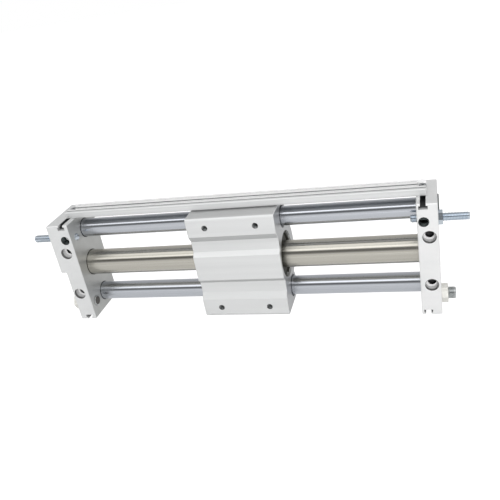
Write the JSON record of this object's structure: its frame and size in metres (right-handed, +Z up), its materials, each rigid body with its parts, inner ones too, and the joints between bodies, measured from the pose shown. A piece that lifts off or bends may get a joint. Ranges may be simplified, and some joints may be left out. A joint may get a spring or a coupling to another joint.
{
  "type": "magnetic rodless cylinder",
  "caption": "Magnetically coupled rodless cylinder with a slide block on twin guide rods between end plates, with a sensor rail on top.",
  "frame": {"origin": "middle of the overall box at rest, on the surface that the end plates stand on", "axes": "+X along the tube to the right plate, +Y from the front faces to the back, +Z up"},
  "size_m": [0.4506, 0.063, 0.123],
  "materials": {
    "plate_alu": "satin clear anodised",
    "slide_alu": "satin clear anodised",
    "rail_alu": "satin clear anodised extrusion",
    "tube_steel": "drawn stainless, fine lengthwise grain",
    "rod_chrome": "ground hard chrome",
    "zinc_steel": "bright blue zinc",
    "nickel_steel": "dull nickel",
    "black_steel": "black oxide",
    "charcoal_alloy": "dark anodised",
    "bush_liner": "dark lined bush",
    "yoke_steel": "zinc plated",
    "magnet": "nickel plated",
    "nbr": "black nitrile",
    "resin": "wear resin",
    "urethane": "dark urethane",
    "piston_alu": "chromated"
  },
  "bodies": {
    "frame": {"left_end_plate": "plate_alu", "right_end_plate": "plate_alu", "cylinder_tube": "tube_steel", "tube_seals": "nbr", "guide_rod_lower": "rod_chrome", "guide_rod_upper": "rod_chrome", "rod_screws": "black_steel", "rod_end_cap": "charcoal_alloy", "bolt_lock_nuts": "zinc_steel", "bumper_nuts": "nickel_steel", "sensor_rail": "rail_alu", "rail_screws": "zinc_steel", "slot_nuts": "yoke_steel"},
    "carriage": {"slide_block": "slide_alu", "switch_magnet": "magnet", "guide_bush_lower_left": "bush_liner", "guide_bush_lower_right": "bush_liner", "guide_bush_upper_left": "bush_liner", "guide_bush_upper_right": "bush_liner", "outer_yokes": "yoke_steel", "outer_magnets": "magnet", "stack_retainer_left": "charcoal_alloy", "stack_retainer_right": "charcoal_alloy", "tube_wear_rings": "resin", "tube_scrapers": "nbr", "snap_rings": "black_steel"},
    "piston": {"piston_shaft": "zinc_steel", "inner_yokes": "yoke_steel", "inner_magnets": "magnet", "piston_left": "piston_alu", "piston_right": "piston_alu", "piston_seals": "nbr", "piston_wear_rings": "resin", "piston_nuts": "zinc_steel", "piston_bumpers": "urethane"},
    "bolt_left": {"adjusting_bolt_left": "zinc_steel"},
    "bolt_right": {"adjusting_bolt_right": "zinc_steel"},
    "bumper_left": {"bumper_holder_left": "nickel_steel", "bumper_pad_left": "urethane"},
    "bumper_right": {"bumper_holder_right": "nickel_steel", "bumper_pad_right": "urethane"}
  },
  "joints": [
    {"name": "carriage_slide", "type": "slide", "parent": "frame", "child": "carriage", "axis": [1, 0, 0], "range_m": [-0.1303, 0.1247]},
    {"name": "piston_slide", "type": "slide", "parent": "frame", "child": "piston", "axis": [1, 0, 0], "range_m": [-0.1303, 0.1247]},
    {"name": "bolt_left_adjust", "type": "slide", "parent": "frame", "child": "bolt_left", "axis": [-1, 0, 0], "range_m": [0, 0.008]},
    {"name": "bolt_right_adjust", "type": "slide", "parent": "frame", "child": "bolt_right", "axis": [1, 0, 0], "range_m": [0, 0.008]},
    {"name": "bumper_left_adjust", "type": "slide", "parent": "frame", "child": "bumper_left", "axis": [-1, 0, 0], "range_m": [0, 0.006]},
    {"name": "bumper_right_adjust", "type": "slide", "parent": "frame", "child": "bumper_right", "axis": [-1, 0, 0], "range_m": [0, 0.011]}
  ],
  "couplings": [
    {"joint": "piston_slide", "follows": "carriage_slide", "ratio": 1}
  ]
}
